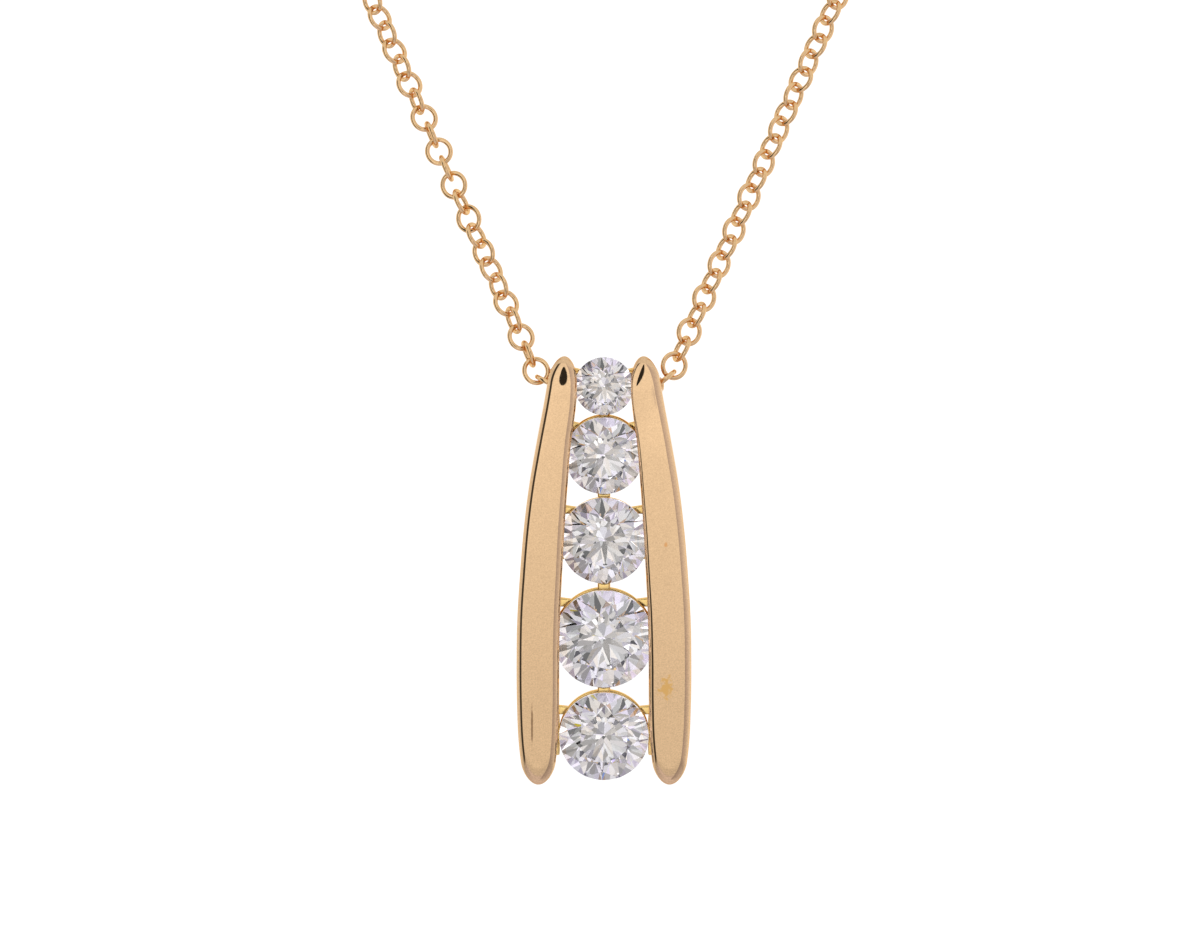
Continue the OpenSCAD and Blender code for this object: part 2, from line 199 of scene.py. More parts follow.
END_STEPS, SIDE_STEPS = 22, 230
quarter = TIP_ROUND * (1 - np.cos(np.linspace(0, np.pi / 2, END_STEPS + 1)))
middle = np.linspace(TIP_ROUND, BAR_LEN - FOOT_ROUND, SIDE_STEPS + 1)[1:-1]
STATIONS = np.concatenate([quarter, middle, BAR_LEN - quarter[::-1]])
DOWN = np.concatenate([STATIONS, STATIONS[-2:0:-1]])  # down the outer edge, up the inner edge
SIDE = np.concatenate([np.ones(len(STATIONS)), -np.ones(len(STATIONS) - 2)])
OUTLINE = stacked(bar_edge(DOWN, SIDE), -DOWN)
run = np.roll(OUTLINE, -1, axis=0) - np.roll(OUTLINE, 1, axis=0)
run /= np.linalg.norm(run, axis=1, keepdims=True)
INWARD = stacked(run[:, 1], -run[:, 0])
print("outline of", len(OUTLINE), "points, widest", round(2 * OUTLINE[:, 0].max(), 2), "mm across")

# %% [markdown]
# ## The stones' seats
# Channel-set stones sit with their girdles in notches that the setter cuts into the inner walls of
# the bars. Here a notch is a push: where a wall point would lie inside the room that a stone needs,
# it moves sideways to the edge of that room. The room is a double cone with a narrow band.

# %% Seats
STONE_D = np.array([2.74, 3.64, 4.08, 4.65, 4.2])
STONE_SPACE = np.array([0.12, 0.19, 0.35, 0.26])
STONE_GAP, FIRST_DOWN = 0.04, 1.38
ROOM_BAND = 0.03  # half the height of a room's band, as a share of its stone's width
ROOM_CROWN, ROOM_TABLE = 0.44, 0.5  # height of the cone in front and its loss of width, in radii
ROOM_BACK = 0.93  # depth of the cone behind, in radii
before = np.concatenate([[0], np.cumsum(STONE_D[:-1] + STONE_SPACE)])
STONE_DOWN = FIRST_DOWN + before + (STONE_D - STONE_D[0]) / 2


def room_radius(i, y):
    """Radius of stone i's room at depth y: full in the girdle band, narrowing in a cone on both sides."""
    r, level = STONE_D[i] / 2 + STONE_GAP, ROOM_BAND * STONE_D[i] + STONE_GAP
    front = r * (1 - ROOM_TABLE * (-y - level) / (ROOM_CROWN * r))
    back = r * (1 - (y - level) / (ROOM_BACK * r))
    inside = np.clip(np.minimum(r, np.minimum(front, back)), 0, None)
    return np.where(-y > level + ROOM_CROWN * r, 0, inside)


def seat(points):
    """Pushes points sideways out of every stone's room: x becomes at least sqrt(room^2 - dz^2)."""
    x, y, z = np.moveaxis(points, -1, 0)
    for i, down in enumerate(STONE_DOWN):
        half = np.sqrt(np.clip(room_radius(i, y) ** 2 - (z + down) ** 2, 0, None))
        x = np.where(half > 0, np.sign(x) * np.maximum(np.abs(x), half), x)
    return stacked(x, y, z)


print("stones lie", np.round(STONE_DOWN, 2), "mm down")

# %% [markdown]
# ## Stacking the outlines
# The face falls back a little at both ends, and close to the tips it also rounds over, as polishing
# leaves it. It is very slightly crowned, and at the left bar's tip the crown mirrors the camera's
# lens as a dark drop. The right bar shows a slit instead, because polishing left a soft ridge there,
# drawn as a hyperbola across it. The bevel is a quarter of an ellipse, so that its brightness changes
# gently, and the right bar's inner one is worn narrow at the tip. All rows keep the outline's parameter.

# %% Bar surfaces
RIM_TIP, RIM_FOOT = 0.26, 0.48  # how far the face's edge stays from the tip and from the foot
TIP_DROP, TIP_REACH = 0.3, 1.5  # how far, and over what length, the face rounds over at the tip
TIP_BACK = 0.4  # how much lower the back ends than the face does at the tip
CROWN, CROWN_REACH = 0.012, 2.6  # the middle of the face is higher than its edges, more so at the tip
TIP_CROWN, TIP_LEAN = {"bar_left": 0.010, "bar_right": -0.012}, {"bar_left": 0.012, "bar_right": 0.0}
CROWN_HALF, CROWN_POWER = 0.33, 1.5  # where half the face is narrower, the crown falls
LEAN_START = 0.8  # the lean sets in over this length from the tip
RIDGE = {"bar_left": 0.0, "bar_right": 1.0}  # a soft ridge beside the right bar's tip
RIDGE_TOP, RIDGE_FOOT = (1.80, 0.33), (1.52, 1.15)  # its ends: place to the side, distance down
RIDGE_IN, RIDGE_OUT, RIDGE_W = 0.17, 0.08, 0.1  # the slopes on its two sides, and its softness
RIDGE_FADE, RIDGE_REACH = 3.6, 0.6  # it dies away down the bar, and ends inwards
FACE_ROWS, BEVEL_ROWS, WALL_ROWS, BACK_BEVEL_ROWS, BACK_ROWS = 25, 13, 20, 5, 4


def face_depth(z):
    """Depth of the face: a shallow parabola along the bar, with a steeper one added over the tip."""
    bow = FACE_Y + FACE_BOW * (-2 * z / BAR_LEN - 1) ** 2
    return bow + TIP_DROP * np.clip(1 + z / TIP_REACH, 0, 1) ** 2


def middle_of(row):
    """Halfway between each point of a row and the point across from it, which has the mirrored place."""
    return (row + np.roll(row[::-1], 1, axis=0)) / 2


def face_rim(name):
    """The face's edge: the outline drawn in by the bevel, and drawn up and down to its own two ends."""
    worn = np.interp(DOWN, WORN_DOWN, WORN_SHARE) if name == "bar_right" else 1
    edge = EDGE * np.where(SIDE < 0, worn, 1)
    down = RIM_TIP + (BAR_LEN - RIM_TIP - RIM_FOOT) * DOWN / BAR_LEN
    inner, outer = both_edges(down)
    narrow = end_share(DOWN, TIP_ROUND) * end_share(BAR_LEN - DOWN, FOOT_ROUND)
    return stacked((outer + inner) / 2 + SIDE * narrow * ((outer - inner) / 2 - edge), -down)


def at_depth(flat, y):
    """Points of the front view, given a depth."""
    return stacked(flat[..., 0], y, flat[..., 1])


def lowered(flat):
    """The back's outline: the same as in front, but lower towards the tip, by a parabola."""
    lower = TIP_BACK * np.clip(1 + flat[..., 1] / TIP_REACH, 0, 1) ** 2
    return flat - stacked(0, lower)


def tip_shape(name, flat, middle):
    """Added depth near a tip: a lean about the middle line, and a ridge drawn as a hyperbola across it."""
    across, down = flat[..., 0] - middle, -flat[..., 1]
    lean = TIP_LEAN[name] * across * ease(down / LEAN_START) * ease(1 - down / CROWN_REACH)
    (top_x, top_down), (foot_x, foot_down) = RIDGE_TOP, RIDGE_FOOT
    ridge_x = top_x + (foot_x - top_x) * (down - top_down) / (foot_down - top_down)
    d = np.clip(flat[..., 0] - ridge_x, -RIDGE_REACH, None)
    slope, bend = (RIDGE_OUT - RIDGE_IN) / 2, (RIDGE_OUT + RIDGE_IN) / 2
    ridge = slope * d + bend * (np.hypot(d, RIDGE_W) - RIDGE_W)
    return lean + RIDGE[name] * ridge * ease(1 - (down - foot_down) / RIDGE_FADE)


def bar_surface(name):
    """Rows from the face's middle line over the bevel, the wall and the back, to the back's middle line."""
    rim = face_rim(name)
    middle = middle_of(rim)
    share = np.linspace(0, 1, FACE_ROWS)[:-1, None]
    flat = middle + share[..., None] * (rim - middle)
    half = np.abs(rim[:, 0] - middle[:, 0])
    crown = CROWN + TIP_CROWN[name] * ease(1 + flat[..., 1] / CROWN_REACH)
    crown = crown * np.clip(half / CROWN_HALF, 0, 1) ** CROWN_POWER
    lean, rim_lean = tip_shape(name, flat, middle[:, 0]), tip_shape(name, rim, middle[:, 0])
    face = at_depth(flat, face_depth(flat[..., 1]) - crown * (1 - share**2) + lean)
    turn = np.linspace(0, np.pi / 2, BEVEL_ROWS)[:, None]
    flat = OUTLINE + (1 - np.sin(turn))[..., None] * (rim - OUTLINE)
    bevel = at_depth(flat, face_depth(flat[..., 1]) + EDGE_DEPTH * (1 - np.cos(turn)) + rim_lean)
    down_wall = np.linspace(0, 1, WALL_ROWS + 1)[1:, None]
    wall = at_depth(OUTLINE + down_wall[..., None] * (lowered(OUTLINE) - OUTLINE),
                    bevel[-1, :, 1] + down_wall * (BACK_Y - BACK_EDGE - bevel[-1, :, 1]))
    turn = np.linspace(0, np.pi / 2, BACK_BEVEL_ROWS + 1)[1:, None]
    flat = lowered(OUTLINE + (1 - np.cos(turn))[..., None] * BACK_EDGE * INWARD)
    back_bevel = at_depth(flat, BACK_Y - BACK_EDGE * (1 - np.sin(turn)))
    share = np.linspace(0, 1, BACK_ROWS + 1)[1:, None, None]
    back = at_depth(flat[-1] + share * (middle_of(flat[-1]) - flat[-1]), BACK_Y)
    return seat(np.concatenate([face, bevel, wall, back_bevel, back]))


bars = []
for name, mirror in (("bar_left", -1), ("bar_right", 1)):
    surface = bar_surface(name) * [mirror, 1, 1]
    faces = grid_faces(*surface.shape[:2], close_columns=True)
    bars.append(make_piece(name, hang(surface), faces))

# %% [markdown]
# ## Small blocks and turned rings
# A goldsmith builds the setting from bits of wire and strip, and polishing rounds every corner. Cubes
# with bevels would do for the bits, but a superellipsoid has soft corners by itself: it is a sphere
# whose sines and cosines are raised to a low power. A ring is a rounded profile turned once round.

# %% Blocks and rings
BLOCK_STEPS, TURN_STEPS, PROFILE_STEPS = 28, 96, 20
SQUARE = 0.25  # the power that squares a block up
NUDGE = 0.01  # keeps a profile's angle 0 on its upper side


def power(value, p):
    """The value's size raised to a power, with the value's own sign."""
    return np.sign(value) * np.abs(value) ** p


def block(square):
    """Superellipsoid from -1 to 1: x, y, z are powers of the cosines and sines of two angles."""
    up = np.linspace(-np.pi / 2, np.pi / 2, BLOCK_STEPS // 2 + 1)[:, None]
    turn = full_turn(BLOCK_STEPS)[None, :]
    x = power(np.cos(up), square) * power(np.cos(turn), square)
    y = power(np.cos(up), square) * power(np.sin(turn), square)
    points = stacked(x, y, power(np.sin(up), square))
    return points.reshape(-1, 3), grid_faces(*x.shape, close_columns=True)


def wedge(corners, front, depth, square=SQUARE):
    """A block whose front view is a quadrilateral: its x and z blend the four corners bilinearly."""
    points, faces = block(square)
    u, v = (points[:, :1] + 1) / 2, (points[:, 2:] + 1) / 2
    a, b, c, d = np.array(corners, float)
    flat = (1 - u) * (1 - v) * a + (1 - u) * v * b + u * v * c + u * (1 - v) * d
    return stacked(flat[:, 0], front + depth * (points[:, 1] + 1) / 2, flat[:, 1]), faces


def box_corners(centre, wide, high):
    """The corners of an upright rectangle: lower left, upper left, upper right, lower right."""
    return np.array(centre) + np.array([[-wide, -high], [-wide, high], [wide, high], [wide, -high]]) / 2


def band(radius_in, radius_out, low, high, axis, centre, corner):
    """A rounded rectangle turned round an axis: the profile's angle and the turn are the parameters."""
    a = full_turn(PROFILE_STEPS)
    half = np.array([radius_out - radius_in, high - low]) / 2 - corner
    push = stacked(np.where(np.cos(a) > 0, 1, -1), np.where(np.sin(a + NUDGE) > 0, 1, -1))
    profile = push * half + corner * stacked(np.cos(a), np.sin(a))
    radius, along = (profile + [(radius_in + radius_out) / 2, (low + high) / 2]).T
    t = full_turn(TURN_STEPS)[:, None]
    aside, up = radius * np.cos(t), radius * np.sin(t)
    points = stacked(aside, along, up) if axis == "y" else stacked(along, aside, up)
    faces = grid_faces(TURN_STEPS, PROFILE_STEPS, close_rows=True, close_columns=True)
    return (points + np.array(centre)).reshape(-1, 3), faces


print("a block has", len(block(SQUARE)[1]), "faces, a ring", TURN_STEPS * PROFILE_STEPS)

# %% [markdown]
# ## The setting behind the stones
# Thin rings lie behind the girdles, joined to each other by small bridges and to the bars by lugs
# and ledges, all soldered together. A thin web fills the gap in front of a wider bridge, level with
# the girdles. The parts could be joined by booleans, but they are hidden where they meet, so they
# just overlap. The two hoops that carry the jewel are wider rings on a level axis.

# %% Rings, bridges, lugs, ledges and hoops
RING_WALL, RING_DEPTH, RING_FRONT, RING_CORNER = 0.14, 0.32, 0.48, 0.065
RING_PAST = [-0.17, 0.01, -0.1, 0.02, 0.02]  # how far each ring reaches past its stone
RING_R = STONE_D / 2 + RING_PAST
LUG_ANGLES, LUG_TURN = (28, 47, 45, 45, 33), 6  # in degrees, each lug's place and half its root
LUG_H, LUG_INTO = 0.44, 0.25  # a lug's height, and how far it enters the bar
BRIDGE_W, BRIDGE_AHEAD, BRIDGE_SOFT = 0.6, 0.1, 0.8  # a bridge lies a little ahead of its rings
LEDGE_W, LEDGE_SHARE, LEDGE_INTO = 0.24, 0.46, 0.04  # a ledge's height is a share of its stone's
LEDGE_FRONT, LEDGE_PAST = 0.1, 0.2
WEB_FRONT, WEB_GAP, WEB_LEAST = 0.06, 0.02, 0.16  # a narrower gap than the last has no web
HOOP_BORE, HOOP_WALL, HOOP_IN, HOOP_OUT, HOOP_CORNER = 0.85, 0.25, 1.42, 2.3, 0.09
WEB_SQUARE = 0.3


def web(i):
    """A block whose upper and lower sides follow the girdles of stone i and of the next one below it."""
    points, faces = block(WEB_SQUARE)
    x = BRIDGE_W / 2 * points[:, 0]
    upper = -STONE_DOWN[i] - np.sqrt(STONE_D[i] ** 2 / 4 - x**2) - WEB_GAP
    lower = -STONE_DOWN[i + 1] + np.sqrt(STONE_D[i + 1] ** 2 / 4 - x**2) + WEB_GAP
    y = WEB_FRONT + (RING_FRONT + RING_DEPTH / 2 - WEB_FRONT) * (points[:, 1] + 1) / 2
    return stacked(x, y, lower + (upper - lower) * (points[:, 2] + 1) / 2), faces


def on_ring(i, angle):
    """A point in the middle of a ring's wall, at an angle above its level line, in degrees."""
    r = RING_R[i] - RING_WALL / 2
    return np.array([r * np.cos(np.radians(angle)), r * np.sin(np.radians(angle)) - STONE_DOWN[i]])


setting = []
for i, (d, down) in enumerate(zip(STONE_D, STONE_DOWN)):
    setting.append(band(RING_R[i] - RING_WALL, RING_R[i], RING_FRONT, RING_FRONT + RING_DEPTH, "y",
                        (0, 0, -down), RING_CORNER))
    wall_x = bar_edge(np.array([down]), -1)[0]
    lug_z = RING_R[i] * np.sin(np.radians(LUG_ANGLES[i])) - down
    lug_out = bar_edge(np.array([-lug_z]), -1)[0] + LUG_INTO
    lug = np.array([on_ring(i, LUG_ANGLES[i] - LUG_TURN), on_ring(i, LUG_ANGLES[i] + LUG_TURN),
                    [lug_out, lug_z + LUG_H / 2], [lug_out, lug_z - LUG_H / 2]])
    for side in (-1, 1):
        setting.append(wedge(lug * [side, 1], RING_FRONT, RING_DEPTH))
        ledge, faces = wedge(box_corners((side * (wall_x + LEDGE_INTO), -down), LEDGE_W, LEDGE_SHARE * d),
                             LEDGE_FRONT, RING_FRONT + LEDGE_PAST)
        setting.append((seat(ledge), faces))
for i, space in enumerate(STONE_SPACE):
    low, high = STONE_DOWN[i] + RING_R[i], STONE_DOWN[i + 1] - RING_R[i + 1]
    setting.append(wedge(box_corners((0, -(low + high) / 2), BRIDGE_W, high - low + RING_WALL),
                         RING_FRONT - BRIDGE_AHEAD, RING_DEPTH + BRIDGE_AHEAD, BRIDGE_SOFT))
    if space > WEB_LEAST:
        setting.append(web(i))
hoops = []
for side in (-1, 1):
    hoop_x, hoop_half = side * (HOOP_IN + HOOP_OUT) / 2, (HOOP_OUT - HOOP_IN) / 2
    hoops.append(band(HOOP_BORE, HOOP_BORE + HOOP_WALL, hoop_x - hoop_half, hoop_x + hoop_half, "x",
                      (0, BAIL_BACK, -BAIL_DOWN), HOOP_CORNER))
points, faces = gather(setting)
setting_piece = make_piece("setting", hang(points), faces)
points, faces = gather(hoops)
hoops_piece = make_piece("hoops", hang(points), faces)
for piece in (*bars, setting_piece, hoops_piece):
    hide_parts("frame")
    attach(piece, "pendant")

# %% [markdown]
# ## The chain
# A fine chain under the jewel's weight runs level through the hoops, bends up behind each bar and then
# runs straight to the neck. A curve object could carry it, but the exact place of every link matters
# here, so one function gives the place and the direction at any length along the path.

# %% Path of the photographed stretch
STRAND_OFFSET, BEND_R = 2.86, 1.4  # a strand's line meets the level line here, and its bend's radius
STRAND_SLOPE, STRAND_LEAN = 0.443, 0.2  # how far it goes sideways and backwards for each step up
LEANING = np.array([0, STRAND_LEAN, 1]) / np.hypot(STRAND_LEAN, 1)
RISE = np.arctan2(np.hypot(STRAND_LEAN, 1), STRAND_SLOPE)
BEND_START = STRAND_OFFSET - BEND_R * np.tan(RISE / 2)
BEND_LEN = BEND_R * RISE


def chain_path(s):
    """Level, then an arc of the bend's radius up to the strand's slope, then straight; mirrored for s < 0."""
    s = np.asarray(s, float)
    far, side = np.abs(s), np.sign(s)
    angle = RISE * np.clip((far - BEND_START) / BEND_LEN, 0, 1)
    rest = np.clip(far - BEND_START - BEND_LEN, 0, None)
    across = np.minimum(far, BEND_START) + BEND_R * np.sin(angle) + rest * np.cos(RISE)
    up = BEND_R * (1 - np.cos(angle)) + rest * np.sin(RISE)
    place = BAIL + (side * across)[:, None] * [1, 0, 0] + up[:, None] * LEANING
    along = np.cos(angle)[:, None] * np.array([1, 0, 0]) + (side * np.sin(angle))[:, None] * LEANING
    return place, along


print("level for", round(2 * BEND_START, 2), "mm, then a bend of", round(np.degrees(RISE), 1), "degrees")

# %% [markdown]
# ## The links
# A trace chain is one round link repeated, each turned a quarter about the chain from the last. The
# strands also twist slowly, which decides how open each link looks from the front. A torus could be
# copied for each link, but here all links are made at once, as one array that is broadcast over them.

# %% Photographed links
PITCH, LINK_LONG, LINK_WIDE, WIRE = 0.885, 1.385, 1.315, 0.225
LEFT_PLACE, RIGHT_PLACE = -3.45, 3.72  # the first link that shows on each side, measured along the path
HIDDEN_STEPS, STRAND_LINKS = 9, 24  # steps between these two, and links beyond each
LINK_STEPS, WIRE_STEPS = 40, 12
TWIST = np.array([[-21, -127], [-18, -121], [0, 0], [1, 10], [8, 100], [9, 107], [10, 117], [15, 130],
                  [19, 128], [26, 145], [30, 131]])  # a link's number and the chain's twist there


def links(place, along, turn, link_steps, wire_steps):
    """Oval tori: an ellipse in the plane of the chain and a turned side vector, with round wire on it."""
    across = np.cross(LEANING, [1, 0, 0])
    across = across - (along @ across)[:, None] * along
    across /= np.linalg.norm(across, axis=1, keepdims=True)
    other = np.cross(along, across)
    axis = np.cos(turn)[:, None] * across + np.sin(turn)[:, None] * other
    third = np.cross(axis, along)
    t, w = full_turn(link_steps), full_turn(wire_steps)
    long_, wide = LINK_LONG - WIRE, LINK_WIDE - WIRE
    centre = stacked(long_ / 2 * np.cos(t), wide / 2 * np.sin(t))
    out = stacked(centre[:, 0] / long_**2, centre[:, 1] / wide**2)
    out /= np.linalg.norm(out, axis=1, keepdims=True)
    flat = centre[:, None] + WIRE / 2 * np.cos(w)[None, :, None] * out[:, None]
    local = stacked(flat[..., 0], flat[..., 1], WIRE / 2 * np.sin(w))
    basis = np.stack([along, third, axis], axis=1)
    points = np.einsum("abk,nkc->nabc", local, basis) + place[:, None, None]
    one = grid_faces(link_steps, wire_steps, close_rows=True, close_columns=True)
    faces = one[None] + (np.arange(len(place)) * link_steps * wire_steps)[:, None, None]
    return points.reshape(-1, 3), faces.reshape(-1, 4)


number = np.arange(-STRAND_LINKS, HIDDEN_STEPS + STRAND_LINKS + 1)
left_place, right_place = LEFT_PLACE + number * PITCH, RIGHT_PLACE + (number - HIDDEN_STEPS) * PITCH
hidden_place = LEFT_PLACE + number * (RIGHT_PLACE - LEFT_PLACE) / HIDDEN_STEPS
link_place = np.where(number < 0, left_place, np.where(number > HIDDEN_STEPS, right_place, hidden_place))
link_turn = 90 * number + np.interp(number, TWIST[:, 0], TWIST[:, 1])
place, along = chain_path(link_place)
points, faces = links(place, along, np.radians(link_turn), LINK_STEPS, WIRE_STEPS)
front_links = make_piece("chain_links_front", points, faces)
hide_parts("chain_front")

# %% [markdown]
# ## The rest of the chain
# Out of view the chain runs on round the neck to the clasp. Its links are the same, but there are
# hundreds, so each has only a few dozen faces. Equal steps of the curve's own parameter would crowd
# some of them, so their places are equal steps of arc length, read from the running length.

# %% Hidden links
CLASP_D, CLASP_LEN, CLASP_EYE, CLASP_WIRE = 2.6, 6.4, 0.55, 0.36
LAST_WIRES, LAST_ROOM = 1.5, 0.1  # how many wires deep the last link hangs in the eye, less some room
LAST_X = CLASP_LEN / 2 + 2 * CLASP_EYE - CLASP_WIRE / 2 + LINK_LONG / 2 - LAST_WIRES * WIRE + LAST_ROOM
BACK_LINK_STEPS, BACK_WIRE_STEPS = 10, 5
ROUTE_STEPS, LOOK_AHEAD = 4000, 0.2
ROUTE = np.array([[22.8, -91, -87], [31.8, -83.5, -67], [40.3, -73.5, -48.5], [47.2, -61.5, -32.5],
                  [51.5, -48, -20.5], [52.5, -34, -12], [49, -20.5, -6], [39.5, -8.5, -2.5],
                  [23, -0.8, -0.6], [LAST_X, CLASP_D / 2, 0]])


def route_links(last_place, side):
    """Link centres and directions from past the last photographed link to the clasp, a pitch apart."""
    start, _ = chain_path(np.array([abs(last_place)]))
    rows = np.vstack([start, ROUTE])
    line = smooth_rows(rows, np.linspace(0, len(rows) - 1, ROUTE_STEPS))
    length = np.concatenate([[0], np.cumsum(np.linalg.norm(np.diff(line, axis=0), axis=1))])
    count = int(round(length[-1] / PITCH))
    at = np.linspace(0, length[-1], count + 1)[1:]
    centre, ahead, back = (stacked(*(np.interp(at + shift, length, column) for column in line.T))
                           for shift in (0, LOOK_AHEAD, -LOOK_AHEAD))
    direction = (ahead - back) / np.linalg.norm(ahead - back, axis=1, keepdims=True)
    print("hidden links on side", side, ":", count, "with a pitch of", round(length[-1] / count, 4), "mm")
    return centre * [side, 1, 1], direction * [side, 1, 1]


hidden = []
for side, last, last_turn in ((1, link_place[-1], link_turn[-1]), (-1, link_place[0], link_turn[0])):
    centre, direction = route_links(last, side)
    turn = np.radians(last_turn + 90 * np.arange(1, len(centre) + 1))
    hidden.append(links(centre, direction, turn, BACK_LINK_STEPS, BACK_WIRE_STEPS))
points, faces = gather(hidden)
back_links = make_piece("chain_links_back", points, faces)
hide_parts("chain_back")

# %% [markdown]
# ## The clasp
# A barrel clasp closes the chain at the nape: two halves that screw together, with a raised rim
# where they meet and an eye at each end. It could be cylinders put together, but the rims and the
# domed ends are one profile turned about its own axis. The eyes are plain round tori.

# %% Clasp
# From the middle of the barrel to its dome: place along it, and how far below the rim's radius.
SEAM = [(0.06, 0.09), (0.12, 0.01), (0.5, 0.0), (0.58, 0.07), (0.66, 0.07), (0.74, 0.01)]
DOME_LEN, DOME_FALL, DOME_STEPS, BODY_BELOW = 0.5, 0.6, 8, 0.01
BARREL_STEPS, EYE_STEPS, EYE_WIRE_STEPS = 64, 40, 14


def turned(profile):
    """A profile of (place along x, radius) rows turned round the x axis."""
    x, r = np.array(profile, float).T
    t = full_turn(BARREL_STEPS)[:, None]
    points = stacked(x, r * np.cos(t), r * np.sin(t))
    return points.reshape(-1, 3), grid_faces(BARREL_STEPS, len(x), close_rows=True)


def eye(centre_x):
    """A torus: a ring of the eye's radius plus the wire's cosine, lifted by the wire's sine."""
    t, w = full_turn(EYE_STEPS)[:, None], full_turn(EYE_WIRE_STEPS)[None, :]
    ring = CLASP_EYE + CLASP_WIRE / 2 * np.cos(w)
    points = stacked(ring * np.cos(t) + centre_x, ring * np.sin(t), CLASP_WIRE / 2 * np.sin(w))
    return points.reshape(-1, 3), grid_faces(EYE_STEPS, EYE_WIRE_STEPS, close_rows=True, close_columns=True)


end, radius, bulge = CLASP_LEN / 2, CLASP_D / 2, np.linspace(0, np.pi / 2, DOME_STEPS)
dome_x = end - DOME_LEN + DOME_LEN * np.sin(bulge)
dome_r = radius - BODY_BELOW - DOME_FALL * (1 - np.cos(bulge))
half = [(x, radius - below) for x, below in SEAM] + list(zip(dome_x, dome_r)) + [(end, 0)]
profile = [(-x, r) for x, r in half[::-1]] + half
points, faces = gather([turned(profile), eye(-(end + CLASP_EYE)), eye(end + CLASP_EYE)])
clasp_piece = make_piece("clasp_barrel", points + [0, CLASP_D / 2, 0], faces)
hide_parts("clasp")
for piece in (front_links, back_links, clasp_piece):
    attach(piece, "necklace")

# %% [markdown]
# ## Building node trees
# A material is a small graph of nodes. It could be drawn by hand in the shader editor, but a few
# helpers build it in a way that can be read: each adds a node, fills in its sockets and gives back
# its output. A value that is another node's output becomes a link.

# %% Node helpers
def add(tree, kind, inputs=(), **settings):
    """Adds a node, sets its properties, and fills its inputs, named or numbered, with values or links."""
    node = tree.nodes.new(kind)
    for name, value in settings.items():
        setattr(node, name, value)
    for socket, value in dict(inputs).items():
        if isinstance(value, bpy.types.NodeSocket):
            tree.links.new(value, node.inputs[socket])
        else:
            node.inputs[socket].default_value = value
    return node


def math(tree, operation, *values, clamp=False):
    """One math node: the operation on one, two or three values or outputs."""
    return add(tree, "ShaderNodeMath", enumerate(values), operation=operation, use_clamp=clamp).outputs[0]


def times(tree, first, second):
    """The product of two values."""
    return math(tree, "MULTIPLY", first, second)


def soft_step(tree, value, low, high):
    """0 below low and 1 above high, smooth between; with low above high it falls instead."""
    step = add(tree, "ShaderNodeMapRange", {0: value, 1: low, 2: high}, interpolation_type="SMOOTHSTEP")
    return step.outputs[0]


def ramp(tree, value, low, high, at_low, at_high):
    """Changes evenly from one result at low to another at high, and stays level beyond them."""
    return add(tree, "ShaderNodeMapRange", {0: value, 1: low, 2: high, 3: at_low, 4: at_high}).outputs[0]


def distance(tree, across, up):
    """The square root of the sum of two squares."""
    squares = times(tree, across, across), times(tree, up, up)
    return math(tree, "SQRT", math(tree, "ADD", *squares))


def noise(tree, place, scale, detail):
    """Soft noise around one half, with this many patches to a unit and this many finer layers."""
    return add(tree, "ShaderNodeTexNoise", {"Vector": place, "Scale": scale, "Detail": detail}).outputs[0]


def mixed(tree, share, first, second, how="MIX"):
    """A colour between two colours, or their product, by a share from 0 to 1."""
    node = add(tree, "ShaderNodeMix", {0: share, 6: first, 7: second}, data_type="RGBA", blend_type=how)
    return node.outputs[2]


def object_mm(tree):
    """A point's own place on its piece in millimetres, so that a pattern stays on the piece."""
    place = add(tree, "ShaderNodeTexCoord").outputs["Object"]
    return add(tree, "ShaderNodeMapping", {0: place, 3: (1 / MM, 1 / MM, 1 / MM)}).outputs[0]


def new_material(name):
    """A material, its node tree and its one shader."""
    made = bpy.data.materials.new(name)
    made.use_nodes = True
    return made, made.node_tree, made.node_tree.nodes["Principled BSDF"]


helpers = add, math, times, soft_step, ramp, distance, noise, mixed, object_mm, new_material
print("helpers:", ", ".join(helper.__name__ for helper in helpers))

# %% [markdown]
# ## Floor and light
# Jewellery is lit by a white tent: soft light from everywhere, with a few darker things that draw
# the edges of the metal. Lamps and cards could stand round the piece, but a polished face only shows
# the direction that it mirrors, so the tent is painted on the world by direction, in degrees. It is
# white, dimmer far below and high up.

# %% World by direction
DEGREE = 180 / np.pi
world = bpy.data.worlds.new("light_tent")
bpy.context.scene.world = world
world.use_nodes = True
tree = world.node_tree
tree.nodes.clear()
direction = add(tree, "ShaderNodeTexCoord").outputs["Generated"]
axes = add(tree, "ShaderNodeSeparateXYZ", {0: direction}).outputs
towards = times(tree, axes[1], -1.0)
azimuth = times(tree, math(tree, "ARCTAN2", axes[0], towards), DEGREE)
height = times(tree, math(tree, "ARCSINE", axes[2]), DEGREE)


def window(low, high, edge, value):
    """1 where the value lies between low and high degrees, falling to 0 over an edge on both sides."""
    rise = soft_step(tree, value, low - edge / 2, low + edge / 2)
    fall = soft_step(tree, value, high + edge / 2, high - edge / 2)
    return times(tree, rise, fall)


def card(across, up):
    """A card of the tent: the product of its window of azimuth and its window of height."""
    return times(tree, window(*across, azimuth), window(*up, height))


def dimmed(light, mask, left_light):
    """The light with this share left where the mask is 1."""
    taken = times(tree, mask, 1 - left_light)
    return times(tree, light, math(tree, "SUBTRACT", 1.0, taken))


print("directions from", len(tree.nodes), "nodes")

# %% [markdown]
# ## Cards and lens
# What a polished edge shows is mostly what is dark. There is a dark card and thinner cloth to the
# left, a grey card to the right that fades towards the back, and the lens of the camera, which is
# dark too. Real cards would also darken the floor, and these take light away only from reflections.

